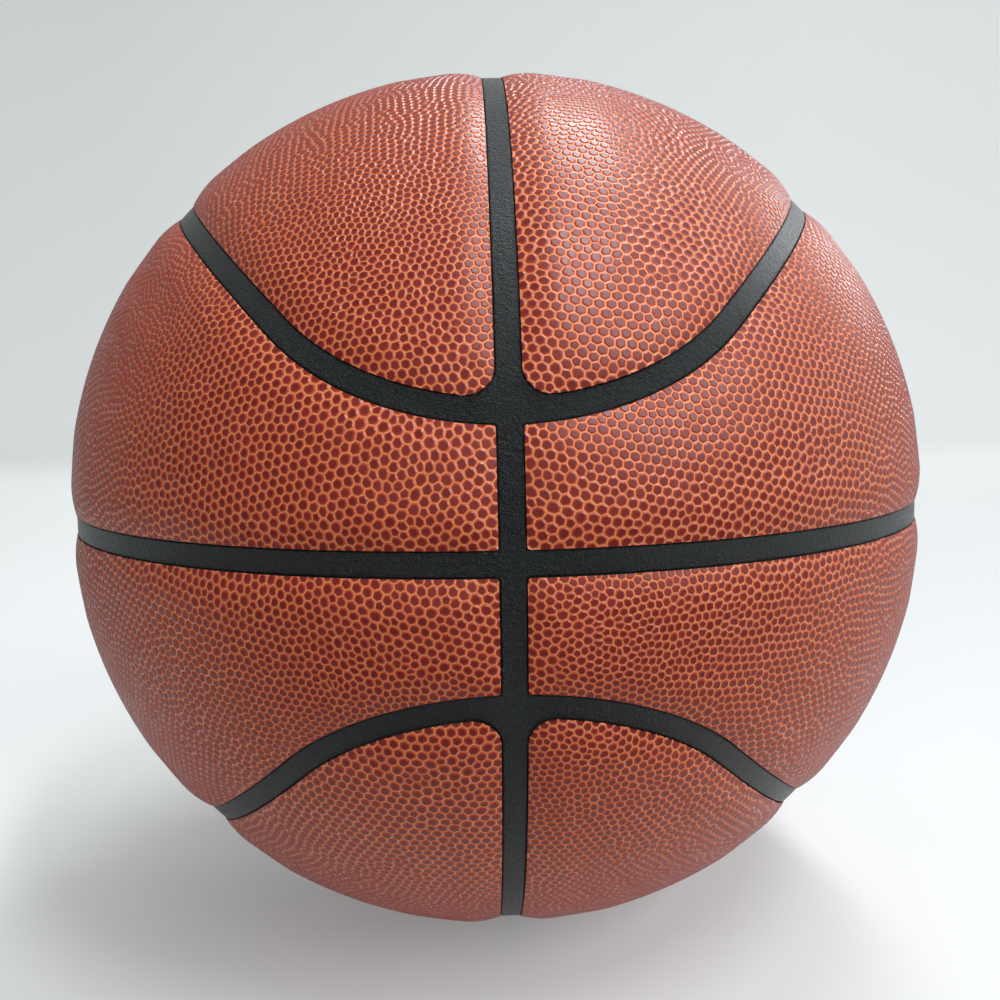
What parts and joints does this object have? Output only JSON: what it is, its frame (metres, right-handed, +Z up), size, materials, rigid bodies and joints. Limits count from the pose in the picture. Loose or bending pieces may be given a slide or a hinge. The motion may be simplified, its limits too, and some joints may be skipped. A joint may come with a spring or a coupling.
{
  "type": "basketball",
  "caption": "Inflated ball with pebbled composite leather panels between sunk black rubber ribs, and a needle valve at the back.",
  "frame": {"origin": "middle of the ball", "axes": "+Z up, the level rib lies in the plane z = 0 and the upright rib in x = 0; -Y faces the viewer, +Y runs out through the valve"},
  "size_m": [0.2412, 0.2404, 0.2412],
  "materials": {
    "cover": "pebbled, satin",
    "rib_rubber": "fine grained, satin",
    "foam": "matt, skived at its edges",
    "carcass_rubber": "matt",
    "thread": "wound and dipped in latex",
    "butyl": "smooth, satin",
    "valve_rubber": "moulded, satin",
    "plug_rubber": "moulded, slightly oiled"
  },
  "bodies": {
    "root": {"bladder": "butyl", "valve_housing": "valve_rubber", "valve_plug": "plug_rubber", "winding": "thread", "carcass": "carcass_rubber", "rib_net": "rib_rubber", "cap_pad_upper_left": "foam", "belt_pad_upper_left": "foam", "cap_cover_upper_left": "cover", "belt_cover_upper_left": "cover", "cap_pad_upper_right": "foam", "belt_pad_upper_right": "foam", "cap_cover_upper_right": "cover", "belt_cover_upper_right": "cover", "cap_pad_lower_left": "foam", "belt_pad_lower_left": "foam", "cap_cover_lower_left": "cover", "belt_cover_lower_left": "cover", "cap_pad_lower_right": "foam", "belt_pad_lower_right": "foam", "cap_cover_lower_right": "cover", "belt_cover_lower_right": "cover"}
  },
  "joints": []
}
